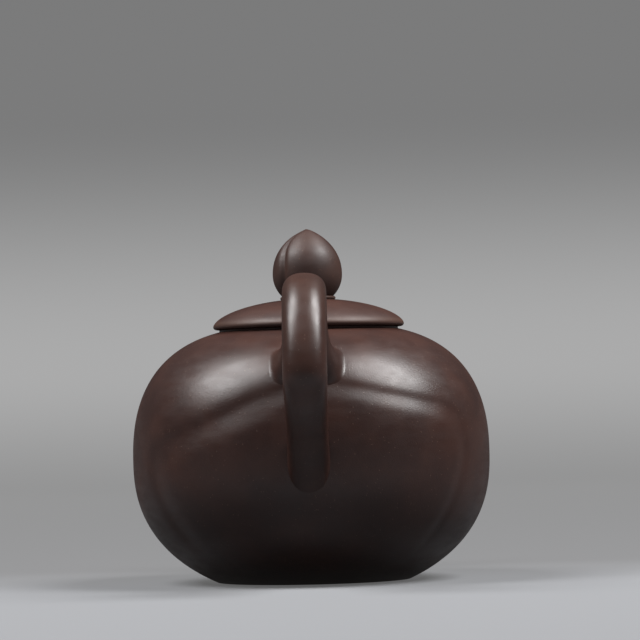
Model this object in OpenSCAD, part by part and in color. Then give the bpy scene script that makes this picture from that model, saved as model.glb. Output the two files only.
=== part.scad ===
// A low, soft-square clay teapot with a peach knob, made of the slabs and formed pieces that a potter
// lutes together. Sizes are in millimetres. The origin is the middle of the foot, on the table.
// +Z is up, +X points along the spout and the handle is on the -X side.

/* [Body] */
// Width across the belly
belly_width = 91; // [84:0.5:104]
// Height of the widest level above the table
belly_level = 31.5; // [28:0.5:35]
// Height of the shoulder where it meets the mouth ring
shoulder_level = 63.9; // [60:0.1:72]
// Height of the shoulder slab, from its seam with the wall to the mouth ring
shoulder_depth = 7.9; // [6.5:0.1:10]
// Width of the round foot on the table
foot_width = 49.5; // [44:0.5:56]
// Thickness of the clay wall
wall = 3; // [2.4:0.1:3.6]
// Thickness of the base slab
base_thickness = 3.2; // [2.6:0.1:4]
// Depth of the hollow pressed into the underside of the base
base_hollow = 0.8; // [0.4:0.1:1.2]
// Width of the ring that the foot stands on
foot_ring = 7; // [4:0.5:10]
// Angle from the middle of the spout's or the handle's wall slab to its seams
slab_angle = 60; // [50:1:70]
// How far the plan at the belly leans from round towards square
squareness = 0.3; // [0:0.05:0.6]
// Fullness of the curve from the belly down to the foot
foot_fullness = 2.4; // [2:0.1:3]
// Fullness of the curve from the belly up to the shoulder
flank_fullness = 2.4; // [2:0.1:3]
// Fullness of the turn from the shoulder to the mouth
shoulder_fullness = 3.2; // [2.6:0.1:4]

/* [Panels] */
// How far the raised panels stand proud of the wall
panel_rise = 0.6; // [0:0.1:1.5]
// Drop from the shoulder to the crest of a panel
crest_drop = 15; // [12:0.5:18]
// Angle from the middle of a panel to its upright border
panel_angle = 52; // [45:1:60]
// Angle by which the borders of a panel draw in from the belly down to the table
panel_taper = 12; // [0:1:20]
// Drop of the upper edge from the crest to the right border
panel_drop_right = 7.5; // [4:0.5:18]
// Drop of the upper edge from the crest to the left border
panel_drop_left = 17; // [4:0.5:20]
// Width of the soft slope along a panel's edge
panel_slope = 4.5; // [3:0.5:8]
// Rounding of a panel's upper corners
panel_corner = 8; // [2:0.5:12]
// Height over which a panel sinks into the wall above the base
panel_fade = 14; // [8:0.5:20]

/* [Mouth] */
// Bore of the mouth that takes the lid's flange
mouth_bore = 40.6; // [36:0.2:46]
// Width of the mouth ring, across its top
mouth_ring_width = 2.6; // [2:0.1:3.2]
// Height of the lid's seat above the shoulder
seat_rise = 0.6; // [0.4:0.1:1.5]

/* [Lid] */
// How far the lip reaches past the mouth ring
lid_overhang = 1.55; // [1:0.05:3]
// Rise of the lid's dome above the tip of its lip
lid_rise = 6.8; // [5:0.1:9]
// Radius of the lip's rounded underside
lip_radius = 0.75; // [0.3:0.05:0.9]
// Thickness of the lid's dome at the middle
lid_thickness = 3; // [2.4:0.1:4]
// Depth of the flange below the seat
flange_depth = 7; // [5:0.5:9]
// Wall of the flange
flange_wall = 2.4; // [1.8:0.1:3]
// Clearance between the flange and the mouth, on each side
flange_clearance = 0.3; // [0.2:0.05:0.5]
// Bore of the vent hole
vent_bore = 2.2; // [1.5:0.1:3]
// Gap between the vent hole and the knob's collar
vent_gap = 2.6; // [1:0.1:4]

/* [Knob] */
// Width of the peach
knob_width = 17.8; // [15:0.1:20]
// Height of the peach above its collar
knob_height = 17.4; // [15:0.1:20]
// Height of the peach's widest level above its collar
knob_belly = 5.6; // [4.5:0.1:7]
// Width of the peach where it meets its collar
knob_neck = 13; // [10:0.1:14]
// Depth of the suture groove
groove_depth = 0.6; // [0.2:0.1:1]
// Width of the suture groove
groove_width = 2; // [1:0.1:3]
// Width of the collar's step around the peach
collar_step = 0.6; // [0.3:0.1:1.2]
// Height of the collar
collar_height = 0.9; // [0.6:0.1:1.5]

/* [Spout] */
// Height of the middle of the spout's root above the belly's widest level
spout_lift = 5.5; // [2:0.5:7]
// Width of the spout at its root
spout_root = 25; // [22:0.5:28]
// Width of the spout at its tip
spout_tip = 11.6; // [10:0.2:14]
// Wall of the spout
spout_wall = 2.3; // [1.8:0.1:3]
// Reach of the middle of the tip past the belly
spout_reach = 27.4; // [22:0.1:34]
// Height of the middle of the tip above the lid's seat
tip_rise = -1.1; // [-3:0.1:4]

/* [Strainer] */
// Ledge of wall left between the strainer's bore and the inside of the spout
strainer_ledge = 1.7; // [1:0.1:3]
// Thickness of the strainer
strainer_wall = 1.8; // [1.4:0.1:2.4]
// Length of the strainer's straight collar inside the bore
strainer_collar = 1.5; // [1:0.1:2]
// Bore of each strainer hole
strainer_hole = 2.2; // [1.5:0.1:2.6]

/* [Handle] */
// Width of the handle, seen from behind the pot
handle_width = 10.6; // [9:0.1:13]
// Thickness of the handle, seen from the side
handle_thickness = 9.4; // [8:0.1:11]
// Width of the tail where it meets the belly
handle_tail = 9.8; // [8:0.1:10.5]
// Gap for a finger between the belly and the handle
finger_gap = 22.4; // [18:0.1:28]
// Height of the handle's top above the shoulder
handle_rise = 12.6; // [8:0.1:18]
// Drop from the shoulder to the middle of the upper root
upper_root_drop = 8.9; // [7:0.1:12]
// Height of the middle of the lower root above the belly's widest level
lower_root_lift = 1; // [-4:0.5:3]
// Spread of the upper root on each side of the handle
root_flare = 4.6; // [1:0.1:5]
// Spread of the lower root on each side of the tail
tail_flare = 0.5; // [0.2:0.1:2.5]
// Run of the tail's tongue down the belly below the tail
tail_tongue = 3; // [0:0.5:5]
// Downward slant of the tail where it meets the belly
tail_slant = 40; // [10:1:50]

/* [Fits] */
// Slip joint between luted pieces whose faces are curved
slip_joint = 0.05; // [0.03:0.01:0.1]

/* [Hidden] */

clay = [0.33, 0.25, 0.22];
dark_clay = [0.27, 0.2, 0.18];
light_clay = [0.38, 0.29, 0.25];
$fn = 96;

// Body
belly_r = belly_width / 2;
foot_r = foot_width / 2;
bore_r = mouth_bore / 2;
mouth_ring_r = bore_r + mouth_ring_width;
rebate_r = mouth_ring_r + slip_joint;
seat_level = shoulder_level + seat_rise;
seam_level = shoulder_level - shoulder_depth;
rebate_level = shoulder_level - wall / 2;
foot_share = 1 - pow(foot_r / belly_r, 2);
mouth_share = 1 - pow(rebate_r / belly_r, shoulder_fullness);
slope_step = 0.01;
body_sides = 72;
wall_steps = 18;
shoulder_steps = 8;
edge_steps = 6;
body_turn = [for (i = [0 : body_sides - 1]) 360 * i / body_sides];
slab_step = 360 / body_sides;

// Radius of the outside at a height, on the middle of a flat side
function lower_profile(z) =
    belly_r * sqrt(1 - foot_share * pow((belly_level - z) / belly_level, foot_fullness));
function upper_profile(z) =
    let (rise = (z - belly_level) / (shoulder_level - belly_level))
    belly_r * pow(1 - mouth_share * pow(rise, flank_fullness), 1 / shoulder_fullness);
function profile(z) =
    z < belly_level ? lower_profile(z) : upper_profile(min(z, shoulder_level));

// Height of the shoulder at a radius, which is the upper profile turned round
function shoulder_height(r) =
    let (share = (1 - pow(r / belly_r, shoulder_fullness)) / mouth_share)
    belly_level + (shoulder_level - belly_level) * pow(share, 1 / flank_fullness);

function profile_slope(z) =
    (profile(z + slope_step) - profile(z - slope_step)) / (2 * slope_step);
function shoulder_slope(r) =
    (shoulder_height(r + slope_step) - shoulder_height(r - slope_step)) / (2 * slope_step);

// Radius of the inside at a height, one wall thickness in along the slope of the outside
function inner_profile(z) = profile(z) - wall * sqrt(1 + pow(profile_slope(z), 2));
function inner_shoulder(r) = shoulder_height(r) - wall * sqrt(1 + pow(shoulder_slope(r), 2));

// The plan is round at the foot and the mouth, and leans to a square at the belly
function square_share(z) =
    let (share = z < belly_level
        ? (z - base_thickness) / (belly_level - base_thickness)
        : (shoulder_level - z) / (shoulder_level - belly_level))
    let (part = max(0, min(1, share)))
    part * (2 - part);
function plan(angle, z) =
    let (power = 2 + squareness * square_share(z))
    pow(pow(abs(cos(angle)), power) + pow(abs(sin(angle)), power), -1 / power);

// A raised panel faces the handle and another faces the spout
panel_crest = shoulder_level - crest_drop;
right_bow = 1.2;
left_bow = 1;
function ease(x) = let (part = max(0, min(1, x))) part * part * (3 - 2 * part);
function soft_least(a, b) =
    let (share = max(0, min(1, 0.5 + 0.5 * (b - a) / panel_corner)))
    b + (a - b) * share - panel_corner * share * (1 - share);
function from_panel(angle) = let (turned = (angle + 450) % 180) turned - 90;
function panel_edge(side) =
    let (out = abs(sin(side)) / sin(panel_angle))
    panel_crest - (side > 0 ? panel_drop_right * pow(out, right_bow) : panel_drop_left * pow(out, left_bow));
function panel_border(z) = panel_angle - panel_taper * max(0, 1 - z / belly_level);
function panel_depth(side, z) =
    soft_least(panel_edge(side) - z, (panel_border(z) - abs(side)) * belly_r * PI / 180);
function panel_relief(angle, z) =
    let (side = from_panel(angle))
    panel_rise
    * ease(0.5 + panel_depth(side, z) / panel_slope)
    * ease((z - base_thickness) / panel_fade);

function body_radius(angle, z) = profile(z) * plan(angle, z) + panel_relief(angle, z);

// Rings of points round the pot's axis
function around(angle, r, z) = [r * cos(angle), r * sin(angle), z];
function outer_ring(z) = [for (angle = body_turn) around(angle, body_radius(angle, z), z)];
function inner_ring(z) =
    let (r = inner_profile(z))
    [for (angle = body_turn) around(angle, r * plan(angle, z), z)];
function round_ring(r, z) = [for (angle = body_turn) around(angle, r, z)];
function steps(first, last, count) = [for (i = [0 : count]) first + (last - first) * i / count];

// Section of the wall at an angle, up the outside and down the inside
function wall_section(angle) = concat(
    [for (z = steps(base_thickness, seam_level, wall_steps)) around(angle, body_radius(angle, z), z)],
    [for (z = steps(seam_level, base_thickness, wall_steps))
        around(angle, inner_profile(z) * plan(angle, z), z)]
);

// A closed surface over rings with as many points each. Open ends are closed by a fan round their
// middle, or by a strip from one half of the ring to the other if the ring is folded.
function middle(ring) = [for (axis = [0 : 2]) [for (p = ring) p[axis]] * [for (p = ring) 1] / len(ring)];

module skin(rings, closed = false, folded = false) {
    count = len(rings[0]);
    last = len(rings) - 1;
    first_middle = len(rings) * count;
    last_middle = first_middle + 1;
    sides = [
        for (i = [0 : closed ? last : last - 1], j = [0 : count - 1])
            let (row = i * count, above = (i + 1) % len(rings) * count, next = (j + 1) % count)
            each [[row + j, above + j, above + next], [row + j, above + next, row + next]]
    ];
    strips = [
        for (j = [0 : count / 2 - 2])
            let (far = count - 1 - j, near_end = last * count + j, far_end = last * count + far)
            each [
                [j, j + 1, far - 1], [j, far - 1, far],
                [far_end - 1, near_end + 1, near_end], [far_end, far_end - 1, near_end]
            ]
    ];
    fans = [
        for (j = [0 : count - 1])
            let (next = (j + 1) % count)
            each [
                [first_middle, j, next],
                [last_middle, last * count + next, last * count + j]
            ]
    ];
    ring_points = [for (ring = rings) each ring];
    if (closed) polyhedron(ring_points, sides);
    else if (folded) polyhedron(ring_points, concat(sides, strips));
    else polyhedron(
        concat(ring_points, [middle(rings[0]), middle(rings[last])]),
        concat(sides, fans)
    );
}

// Points and directions along a cubic curve
function curve_point(c, t) =
    c[0] * pow(1 - t, 3) + c[1] * 3 * pow(1 - t, 2) * t + c[2] * 3 * (1 - t) * t * t + c[3] * pow(t, 3);
function curve_way(c, t) =
    let (way = (c[1] - c[0]) * pow(1 - t, 2) + (c[2] - c[1]) * 2 * (1 - t) * t + (c[3] - c[2]) * t * t)
    way / norm(way);

// An oval across a path in the XZ plane: tall in that plane and wide along Y
function oval(point, way, tall, wide, sides) = [
    for (i = [0 : sides - 1])
        let (angle = 360 * i / sides, up = tall / 2 * cos(angle), out = wide / 2 * sin(angle))
        [point[0] + way[1] * up, out, point[1] - way[0] * up]
];
function shrink(ring, share) = let (centre = middle(ring)) [for (p = ring) centre + (p - centre) * share];

// Where a line from outside the pot meets the body, less the slip joint
search_steps = 26;
search_reach = belly_r;
function outside_body(p) =
    norm([p[0], p[1]]) - body_radius(atan2(p[1], p[0]), p[2]) - slip_joint;
function meet(p, way, near, far, step) =
    let (half = (near + far) / 2)
    step == 0 ? p + way * half
    : outside_body(p + way * half) > 0 ? meet(p, way, half, far, step - 1)
    : meet(p, way, near, half, step - 1);
function on_body(ring, way) =
    [for (p = ring) meet(p - way * search_reach / 2, way, 0, search_reach, search_steps)];

// Spout path, as distance from the axis and height. Its two pulls are shares of the span.
root_pull = [0.45, 0.05];
tip_pull = [0.3, 0.55];
spout_level = belly_level + spout_lift;
spout_start = [body_radius(0, spout_level), spout_level];
spout_end = [belly_r + spout_reach, seat_level + tip_rise];
spout_span = spout_end - spout_start;
spout_curve = [
    spout_start,
    spout_start + [root_pull[0] * spout_span[0], root_pull[1] * spout_span[1]],
    spout_end - [tip_pull[0] * spout_span[0], tip_pull[1] * spout_span[1]],
    spout_end
];
spout_sides = 28;
spout_steps = 14;
spout_taper = 1.5;
spout_times = steps(0, 1, spout_steps);
function spout_size(t) = spout_tip + (spout_root - spout_tip) * pow(1 - t, spout_taper);
function spout_ring(t, inset) =
    let (size = spout_size(t) - 2 * inset)
    oval(curve_point(spout_curve, t), curve_way(spout_curve, t), size, size, spout_sides);
function spout_foot(inset) = on_body(spout_ring(0, inset), [-1, 0, 0]);

// Strainer, whose rim lies in the bore behind the spout. Each row of holes is given by its angle
// from the middle of the strainer and its number of holes.
strainer_bore = spout_root - 2 * spout_wall - 2 * strainer_ledge;
strainer_r = strainer_bore / 2 - slip_joint;
strainer_x = spout_start[0] - wall;
strainer_rows = [[0, 1], [34, 6], [66, 10]];
strainer_steps = 8;

// Handle path, as distance from the axis and height: up from the shoulder, over the crown and down to
// the belly. The pulls and the bend's level are shares of a stretch.
rise_pull = 0.36;
crown_pull = 0.58;
arc_pull = 0.55;
bend_lead = 0.3;
bend_pull = 0.2;
tail_pull = 0.3;
bend_share = 0.5;
upper_root = shoulder_level - upper_root_drop;
lower_root = belly_level + lower_root_lift;
upper_start = [body_radius(180, upper_root), upper_root];
lower_end = [body_radius(180, lower_root), lower_root];
handle_out = belly_r + panel_rise + finger_gap + handle_thickness / 2;
handle_up = shoulder_level + handle_rise - handle_thickness / 2;
crown = [(upper_start[0] + handle_out) / 2, handle_up];
bend = [handle_out, lower_root + bend_share * (handle_up - lower_root)];
to_crown = crown - upper_start;
to_bend = bend - crown;
to_tail = lower_end - bend;
tail_lead = -tail_pull * to_tail[0] * [1, tan(tail_slant)];
handle_curves = [
    [upper_start, upper_start + rise_pull * to_crown, crown - [crown_pull * to_crown[0], 0], crown],
    [crown, crown + [arc_pull * to_bend[0], 0], bend - [0, bend_lead * to_bend[1]], bend],
    [bend, bend + [0, bend_pull * to_tail[1]], lower_end + tail_lead, lower_end]
];
handle_sides = 24;
handle_steps = 12;
flare_length = 0.5;
handle_end = len(handle_curves);
function handle_part(t) = min(handle_end - 1, floor(t));
function handle_flare(from_root) = pow(max(0, 1 - from_root / flare_length), 2);
function handle_point(t) =
    let (part = handle_part(t), point = curve_point(handle_curves[part], t - part))
    [-point[0], point[1]];
function handle_way(t) =
    let (part = handle_part(t), way = curve_way(handle_curves[part], t - part))
    [-way[0], way[1]];

// Sections lie square to the path, and turn to face the belly at the end of the slanting tail
function handle_facing(t) =
    let (
        way = handle_way(t),
        turned = ease(1 - (handle_end - t) / flare_length),
        angle = atan2(way[1], way[0]) * (1 - turned)
    )
    [cos(angle), sin(angle)];
function handle_ring(t) =
    let (
        facing = handle_facing(t),
        flare = 2 * root_flare * handle_flare(t) + 2 * tail_flare * handle_flare(handle_end - t),
        tongue = tail_tongue * handle_flare(handle_end - t),
        slim = (handle_width - handle_tail) * ease(t - handle_end + 1)
    )
    oval(
        handle_point(t) + tongue / 2 * [facing[1], -facing[0]],
        facing,
        (handle_thickness - slim) / (handle_way(t) * facing) + flare / 2 + tongue,
        handle_width - slim + flare,
        handle_sides
    );
root_shares = [0.25, 0.5, 0.75, 1];
function root_rings(ring, way) =
    [for (share = root_shares) on_body(shrink(ring, share), [way[0], 0, way[1]])];

// Lid
lid_r = mouth_ring_r + lid_overhang;
flange_r = bore_r - flange_clearance;
flange_bore_r = flange_r - flange_wall;
collar_r = knob_neck / 2 + collar_step;
lip_level = seat_level + lip_radius;
dome_fullness = 0.6;
dome_steps = 20;
function dome_height(r) = lip_level + lid_rise * pow(max(0, 1 - pow(r / lid_r, 2)), dome_fullness);
collar_level = dome_height(collar_r);
neck_level = collar_level + collar_height;
hollow_rise = dome_height(0) - lid_thickness - seat_level;
vent_x = collar_r + vent_gap + vent_bore / 2;

// Peach, with a groove that leans round it towards the tip
knob_r = knob_width / 2;
knob_neck_r = knob_neck / 2;
knob_sides = 48;
neck_steps = 5;
peach_steps = 14;
knob_tip_share = 0.995;
peach_fullness = 2.2;
peach_point = 0.75;
groove_start = 137;
groove_lean = -36;
function peach_rise(z) = max(0, z - knob_belly) / (knob_height - knob_belly);
function peach_radius(z) =
    let (drop = max(0, knob_belly - z) / knob_belly, share = 1 - pow(knob_neck_r / knob_r, 2))
    knob_r * sqrt(1 - share * drop * drop) * pow(1 - pow(peach_rise(z), peach_fullness), peach_point);
function groove_angle(z) = groove_start + groove_lean * pow(peach_rise(z), 2);
function peach_ring(z) =
    let (r = peach_radius(z))
    [for (i = [0 : knob_sides - 1])
        let (
            angle = 360 * i / knob_sides,
            off = (angle - groove_angle(z) + 540) % 360 - 180,
            apart = off * PI / 180 * r / (groove_width / 2),
            cut = min(groove_depth, r / 4) * exp(-apart * apart)
        )
        around(angle, r - cut, neck_level + z)];

module base_disc() {
    edge = [for (z = steps(0, base_thickness, edge_steps)) [profile(z), z]];
    hollow_r = foot_r - foot_ring;
    color(dark_clay)
        rotate_extrude()
            polygon(concat(
                [[0, base_thickness], [0, base_hollow]],
                [for (r = steps(0, hollow_r, edge_steps)) [r, base_hollow * (1 - pow(r / hollow_r, 2))]],
                edge
            ));
}

// A slab of the wall between two seams
module wall_slab(first, last) {
    count = round((last - first) / slab_step);
    skin([for (angle = steps(last, first, count)) wall_section(angle)], folded = true);
}

module wall_spout_side() {
    color(clay)
        difference() {
            wall_slab(-slab_angle, slab_angle);
            translate([0, 0, spout_level])
                rotate([0, 90, 0])
                    cylinder(d = strainer_bore, h = 2 * belly_width);
        }
}

module wall_handle_side() {
    color(clay)
        wall_slab(180 - slab_angle, 180 + slab_angle);
}

module wall_left() {
    color(clay)
        wall_slab(slab_angle, 180 - slab_angle);
}

module wall_right() {
    color(clay)
        wall_slab(180 + slab_angle, 360 - slab_angle);
}

module shoulder() {
    inner_start = inner_profile(seam_level);
    color(light_clay)
        skin(concat(
            [for (r = steps(profile(seam_level), rebate_r, shoulder_steps)) outer_ring(shoulder_height(r))],
            [round_ring(rebate_r, rebate_level), round_ring(bore_r, rebate_level)],
            [for (r = steps(bore_r, inner_start - wall, shoulder_steps / 2))
                round_ring(r, inner_shoulder(r))],
            [inner_ring(seam_level)]
        ), closed = true);
}

module mouth_ring() {
    color(dark_clay)
        translate([0, 0, rebate_level])
            rotate_extrude()
                translate([bore_r, 0])
                    square([mouth_ring_width, seat_level - rebate_level]);
}

module spout() {
    color(clay)
        skin(concat(
            [spout_foot(0)],
            [for (t = spout_times) spout_ring(t, 0)],
            [for (i = [len(spout_times) - 1 : -1 : 0]) spout_ring(spout_times[i], spout_wall)],
            [spout_foot(spout_wall)]
        ), closed = true);
}

module strainer() {
    inner_r = strainer_r - strainer_wall;
    color(light_clay)
        translate([strainer_x, 0, spout_level])
            rotate([0, -90, 0])
                difference() {
                    rotate_extrude()
                        polygon(concat(
                            [[inner_r, -strainer_collar], [strainer_r, -strainer_collar]],
                            [for (turn = steps(0, 90, strainer_steps)) strainer_r * [cos(turn), sin(turn)]],
                            [for (turn = steps(90, 0, strainer_steps)) inner_r * [cos(turn), sin(turn)]]
                        ));
                    for (row = strainer_rows, i = [0 : row[1] - 1])
                        rotate([0, row[0], 360 * i / row[1]])
                            translate([0, 0, inner_r - strainer_wall / 2])
                                cylinder(d = strainer_hole, h = 2 * strainer_wall);
                }
}

module handle() {
    tail_rings = root_rings(handle_ring(handle_end), handle_facing(handle_end));
    color(clay)
        skin(concat(
            root_rings(handle_ring(0), -handle_way(0)),
            [for (t = steps(0, handle_end, handle_end * handle_steps)) handle_ring(t)],
            [for (i = [len(tail_rings) - 1 : -1 : 0]) tail_rings[i]]
        ));
}

module lid_dome() {
    dome = [
        for (turn = steps(acos(collar_r / lid_r), 0, dome_steps))
            [lid_r * cos(turn), dome_height(lid_r * cos(turn))]
    ];
    lip = [
        for (turn = steps(0, -90, edge_steps))
            if (turn < 0) [lid_r, lip_level] - lip_radius * [1 - cos(turn), -sin(turn)]
    ];
    hollow = [
        for (turn = steps(0, 90, dome_steps / 2))
            [flange_bore_r * cos(turn), seat_level + hollow_rise * sin(turn)]
    ];
    color(light_clay)
        difference() {
            rotate_extrude()
                polygon(concat([[0, collar_level]], dome, lip, hollow));
            translate([vent_x, 0, seat_level])
                cylinder(d = vent_bore, h = 2 * lid_rise);
        }
}

module lid_flange() {
    color(dark_clay)
        translate([0, 0, seat_level - flange_depth])
            rotate_extrude()
                translate([flange_bore_r, 0])
                    square([flange_wall, flange_depth]);
}

module knob_collar() {
    round_r = collar_height / 2;
    color(dark_clay)
        translate([0, 0, collar_level])
            rotate_extrude() {
                square([collar_r - round_r, collar_height]);
                intersection() {
                    translate([collar_r - round_r, round_r])
                        circle(r = round_r);
                    square([collar_r, collar_height]);
                }
            }
}

module knob() {
    upper = knob_tip_share * knob_height - knob_belly;
    color(light_clay)
        skin(concat(
            [for (z = steps(0, knob_belly, neck_steps)) peach_ring(z)],
            [for (turn = steps(0, 90, peach_steps)) if (turn > 0) peach_ring(knob_belly + upper * sin(turn))]
        ));
}

base_disc();
wall_spout_side();
wall_handle_side();
wall_left();
wall_right();
shoulder();
mouth_ring();
spout();
strainer();
handle();
lid_dome();
lid_flange();
knob_collar();
knob();
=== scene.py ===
import math

import bmesh
import bpy
import numpy as np
from mathutils import Matrix, Vector


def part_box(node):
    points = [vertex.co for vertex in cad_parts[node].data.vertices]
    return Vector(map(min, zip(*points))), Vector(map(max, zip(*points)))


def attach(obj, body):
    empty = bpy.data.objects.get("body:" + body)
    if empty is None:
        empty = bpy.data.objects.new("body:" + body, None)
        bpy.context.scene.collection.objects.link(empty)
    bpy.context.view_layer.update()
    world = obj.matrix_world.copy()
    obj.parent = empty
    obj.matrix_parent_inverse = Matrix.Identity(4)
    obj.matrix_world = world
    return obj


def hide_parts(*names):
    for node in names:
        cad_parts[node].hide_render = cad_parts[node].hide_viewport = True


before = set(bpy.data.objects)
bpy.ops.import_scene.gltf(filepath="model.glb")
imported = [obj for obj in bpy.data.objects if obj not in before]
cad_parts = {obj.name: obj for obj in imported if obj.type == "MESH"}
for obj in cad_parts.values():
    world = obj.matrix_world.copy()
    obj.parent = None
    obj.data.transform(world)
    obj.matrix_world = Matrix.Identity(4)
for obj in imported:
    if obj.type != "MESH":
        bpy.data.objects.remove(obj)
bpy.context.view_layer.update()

MM = 0.001


# Sizes, in metres. Levels are heights above the table.
def low(node, axis):
    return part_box(node)[0][axis]


def high(node, axis):
    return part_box(node)[1][axis]


# Body
X, Y, Z = 0, 1, 2
BELLY_R = high("wall_left", Y)
BELLY_LEVEL = 31.5 * MM
FOOT_R = 24.75 * MM
WALL = 3 * MM
BASE_TOP = high("base_disc", Z)
SHOULDER_LEVEL = high("shoulder", Z)
SEAT_LEVEL = high("mouth_ring", Z)
REBATE_LEVEL = low("mouth_ring", Z)
MOUTH_BORE_R = 20.3 * MM
MOUTH_RING_R = 22.9 * MM
REBATE_R = MOUTH_RING_R + 0.05 * MM
BASE_HOLLOW = 0.8 * MM
FOOT_RING = 7 * MM
FOOT_FULLNESS = 2.4
FLANK_FULLNESS = 2.4
SHOULDER_FULLNESS = 3.2
SQUARENESS = 0.3

# Raised panels, with a shallow valley along their edge
PANEL_RISE = 0.3 * MM
PANEL_CREST = SHOULDER_LEVEL - 15 * MM
PANEL_ANGLE = math.radians(52)
PANEL_TAPER = math.radians(12)
PANEL_DROP_RIGHT = 7.5 * MM
PANEL_DROP_LEFT = 17 * MM
PANEL_BOW_RIGHT = 1.2
PANEL_BOW_LEFT = 1
PANEL_SLOPE = 4.5 * MM
PANEL_SPREAD = 0.8
SPREAD_ANGLE = math.radians(20)
PANEL_CORNER = 8 * MM
PANEL_FADE = 14 * MM
VALLEY_DEPTH = 0.24 * MM
VALLEY_ABOVE = 1.3 * MM
VALLEY_BELOW = 3.2 * MM
VALLEY_OUT = 1.9 * MM

# Lid
LID_R = 24.45 * MM
LIP_RADIUS = 0.75 * MM
LID_RISE = 6.8 * MM
LID_THICKNESS = 3 * MM
DOME_FULLNESS = 0.6
LIP_LEVEL = SEAT_LEVEL + LIP_RADIUS
FLANGE_R = high("lid_flange", Y)
FLANGE_BORE_R = FLANGE_R - 2.4 * MM
FLANGE_LEVEL = low("lid_flange", Z)
VENT_R = 1.1 * MM
VENT_GAP = 2.6 * MM
VENT_ROUND = 0.4 * MM

# Knob
COLLAR_R = high("knob_collar", Y)
COLLAR_LEVEL = low("knob_collar", Z)
NECK_LEVEL = low("knob", Z)
KNOB_R = 8.9 * MM
KNOB_HEIGHT = high("knob", Z) - NECK_LEVEL
KNOB_BELLY = 5.6 * MM
KNOB_NECK_R = 6.5 * MM
PEACH_FULLNESS = 2.2
PEACH_POINT = 0.75
GROOVE_DEPTH = 0.75 * MM
GROOVE_WIDTH = 2 * MM
GROOVE_START = math.radians(137)
GROOVE_LEAN = math.radians(-36)

# Spout and strainer, whose rows are (degrees from the axis, holes)
SPOUT_LEVEL = BELLY_LEVEL + 5.5 * MM
SPOUT_ROOT_R = 12.5 * MM
SPOUT_TIP_R = 5.8 * MM
SPOUT_WALL = 2.3 * MM
SPOUT_TAPER = 1.5
SPOUT_END = (BELLY_R + 27.4 * MM, SEAT_LEVEL - 1.1 * MM)
SPOUT_FILLET = 3 * MM
STRAINER_R = high("strainer", Y)
STRAINER_WALL = 1.8 * MM
STRAINER_COLLAR = 1.5 * MM
STRAINER_HOLE_R = 1.1 * MM
STRAINER_BORE_R = STRAINER_R + 0.05 * MM
STRAINER_ROWS = ((0, 1), (34, 6), (66, 10))

# Handle
HANDLE_WIDTH = 10.6 * MM
HANDLE_THICKNESS = 9.4 * MM
HANDLE_TAIL = 9.8 * MM
HANDLE_FULLNESS = 2.4
HANDLE_OUT = BELLY_R + 23 * MM + HANDLE_THICKNESS / 2
HANDLE_UP = high("handle", Z) - HANDLE_THICKNESS / 2
UPPER_ROOT = SHOULDER_LEVEL - 8.9 * MM
LOWER_ROOT = BELLY_LEVEL + 1 * MM
TAIL_SLANT = math.radians(40)
TAIL_TURN = 0.5

# Flares of the handle's roots: to each side, above and below
UPPER_FLARE = (4.9 * MM, 2.5 * MM, 2.2 * MM)
UPPER_REACH = 12 * MM
UPPER_MEETING = 2.2
UPPER_FULLNESS = 3.4
TAIL_FLARE = (0.3 * MM, 1 * MM, 3 * MM)
TAIL_REACH = 15 * MM
TAIL_MEETING = 1.1
ROOT_BLEND = 5 * MM

# Wear left by hands, as shares
CROWN_WORN = 0.15
SPOUT_LIP_WORN = 0.9
LID_LIP_WORN = 0.5
SEAT_WORN = 0.5
COLLAR_WORN = 0.35
WORN_REACH = 16 * MM

# Pulls of the curves, as shares of their spans
RISE_PULL = 0.36
CROWN_PULL = 0.58
ARC_PULL = 0.55
BEND_PULL = 0.2
BEND_LEAD = 0.3
TAIL_PULL = 0.3
BEND_SHARE = 0.5
SPOUT_ROOT_PULL = np.array([0.45, 0.05])
SPOUT_TIP_PULL = np.array([0.3, 0.55])

# Making
LIP_ROUND = 0.9 * MM
UNEVENNESS = 0.35 * MM
SINK = 0.12 * MM
AROUND = 256
KNOB_AROUND = 160
ROOT_TURNS = 12

# Studio and camera. Edges and rises are where a change starts and ends, along X and up Z.
FLOOR_R = 1.1
SWEEP_R = 1.2
WALL_TOP = 2.4
FLOOR_TONE = (119, 120, 123)
# Darker floor colour seen by bounce light around and behind the pot, and under the backdrop's glow:
# painted shade on the pot's lower parts
FLOOR_SHADE = (60, 60, 62)
FLOOR_GLOW = 0.1
# The backdrop's glow is brighter at mid-height and dimmer at its foot, at its top and just behind the
# pot: a painted light falloff
BACKDROP_GLOW = 0.385
FLOOR_EDGE = (-0.04, 0.09)
FRONT_EDGE = (-0.12, -0.05)
FOOT_RISE = (-0.03, 0.075)
FOOT_SHARE = 0.62
FADE_RISE = (0.08, 0.28)
FADE_SHARE = 0.48
DEPTH_EDGE = (0.1, 1.1)
DEPTH_SHARE = 0.82
# Reflections see the floor at this share of its brightness, which darkens the pot's lower parts: painted
# shade
REFLECTED_SHARE = 0.4
SKY_TONE = (205, 208, 212)
FILL = 0.03
LAMP_AIM = (0, 0, 0.04)
SOFT_BOX = (0.6, 0.46)
SOFT_BOXES = (
    ("soft_box_left", (-0.1, 0.57, 0.92), 13.5),
    ("soft_box_right", (-0.1, -0.59, 0.92), 17),
)
SENSOR = 36.0
FRAME_PIXELS = 640
PIXELS_PER_METRE = 3900
CAMERA_AWAY = 0.897
CAMERA_LEVEL = 0.0434
CAMERA_YAW = math.radians(0.9)
CAMERA_ROLL = math.radians(1.35)
CAMERA_AIM = (0, -2.97 * MM, 66.5 * MM)


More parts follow.
